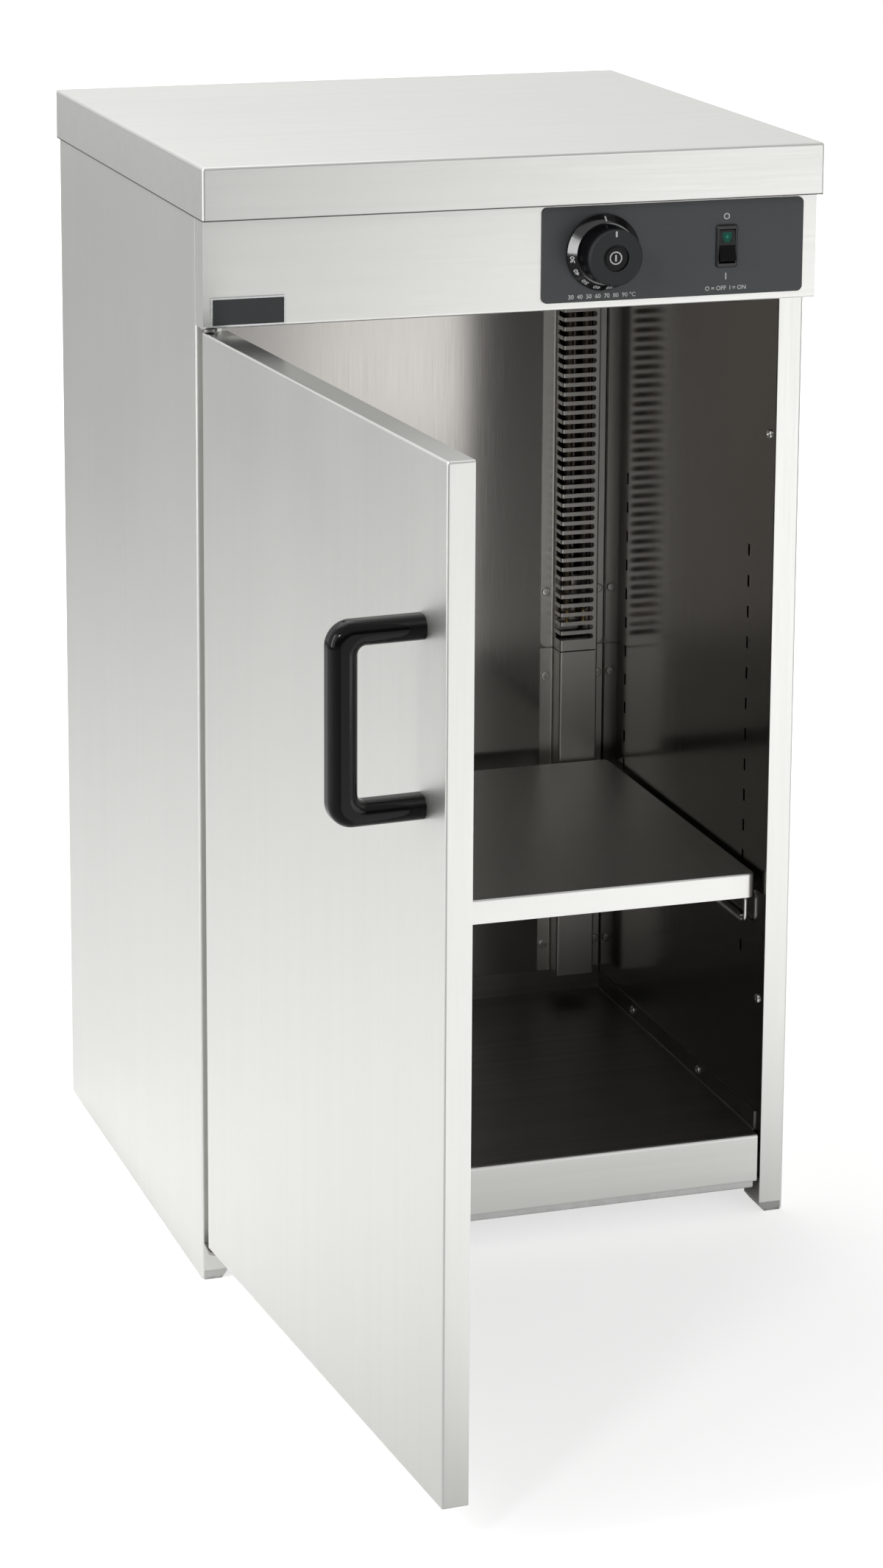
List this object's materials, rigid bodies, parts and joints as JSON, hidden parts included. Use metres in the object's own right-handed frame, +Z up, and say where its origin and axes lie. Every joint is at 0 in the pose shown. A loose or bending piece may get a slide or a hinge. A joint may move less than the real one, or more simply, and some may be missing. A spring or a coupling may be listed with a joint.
{
  "type": "plate warmer cabinet",
  "caption": "Free-standing heated cabinet for keeping plates hot, double-walled in folded stainless sheet, with a hinged door, dial, rocker switch, slotted heat duct and loose shelf.",
  "frame": {"origin": "on the floor, under the middle of the cabinet's body without the door", "axes": "+X to the right as seen from the front, +Y from the door towards the back, +Z up"},
  "size_m": [0.4853, 0.8722, 0.81],
  "materials": {
    "stainless": "fine satin stainless sheet",
    "galvanised": "dull galvanised sheet",
    "steel_fittings": "bright plated steel",
    "chrome_wire": "bright drawn wire",
    "screws": "plated screws",
    "charcoal_plate": "dark charcoal, satin, printed white",
    "black_gloss": "moulded, glossy black",
    "black_matte": "moulded, satin black",
    "green_lens": "clear green lens",
    "grey_plastic": "light grey glide",
    "shaft_steel": "plain steel",
    "element_steel": "heat-darkened tube",
    "brass": "plain brass and copper",
    "cream_plastic": "heat-proof cream plastic",
    "magnet": "bound ferrite",
    "mineral_wool": "mineral wool slab"
  },
  "bodies": {
    "cabinet": {"side_panel_left": "stainless", "side_panel_right": "stainless", "lid": "stainless", "fascia": "stainless", "base_pan": "stainless", "liner_left": "stainless", "liner_right": "stainless", "liner_rear": "stainless", "ceiling": "stainless", "heater_guard": "stainless", "air_duct": "stainless", "rear_panel": "galvanised", "bottom_cover": "galvanised", "hinge_bracket_bottom": "steel_fittings", "hinge_bracket_top": "steel_fittings", "hinge_pins": "steel_fittings", "heater_brackets": "steel_fittings", "sensor_clips": "steel_fittings", "shelf_support_left": "chrome_wire", "shelf_support_right": "chrome_wire", "pan_screws": "screws", "rear_panel_screws": "screws", "lid_screws": "screws", "duct_screws": "screws", "catch_screws": "screws", "thermostat_screws": "screws", "control_plate": "charcoal_plate", "switch_housing": "black_matte", "cable_gland": "black_matte", "gland_nut": "black_matte", "foot_glides": "grey_plastic", "thermostat_body": "shaft_steel", "heating_element": "element_steel", "earth_stud": "brass", "heater_terminals": "brass", "sensor_bulb": "brass", "terminal_block": "cream_plastic", "safety_cutout": "cream_plastic", "catch_magnets": "magnet", "floor_insulation": "mineral_wool", "side_insulation": "mineral_wool", "rear_insulation": "mineral_wool", "ceiling_insulation": "mineral_wool"},
    "door": {"door_outer": "stainless", "door_inner": "stainless", "door_insulation": "mineral_wool", "door_bushes": "black_matte", "strike_plates": "steel_fittings", "door_handle": "black_gloss", "handle_screws": "screws"},
    "knob": {"thermostat_shaft": "shaft_steel", "knob_skirt": "black_gloss", "knob_cap": "black_gloss"},
    "rocker": {"rocker": "black_matte", "rocker_lens": "green_lens"},
    "shelf": {"shelf": "stainless"}
  },
  "joints": [
    {"name": "door_hinge", "type": "hinge", "parent": "cabinet", "child": "door", "pos_m": [-0.2195, -0.217, 0.362], "axis": [0, 0, 1], "range_deg": [-78.8, 86.2]},
    {"name": "thermostat_knob", "type": "hinge", "parent": "cabinet", "child": "knob", "pos_m": [0.0632, -0.2222, 0.73825], "axis": [0, 1, 0], "range_deg": [0, 270]},
    {"name": "rocker_switch", "type": "hinge", "parent": "cabinet", "child": "rocker", "pos_m": [0.1562, -0.2196, 0.73825], "axis": [1, 0, 0], "range_deg": [0, 20]},
    {"name": "shelf_lift", "type": "slide", "parent": "cabinet", "child": "shelf", "axis": [0, 0, 1], "range_m": [0, 0.02]}
  ]
}
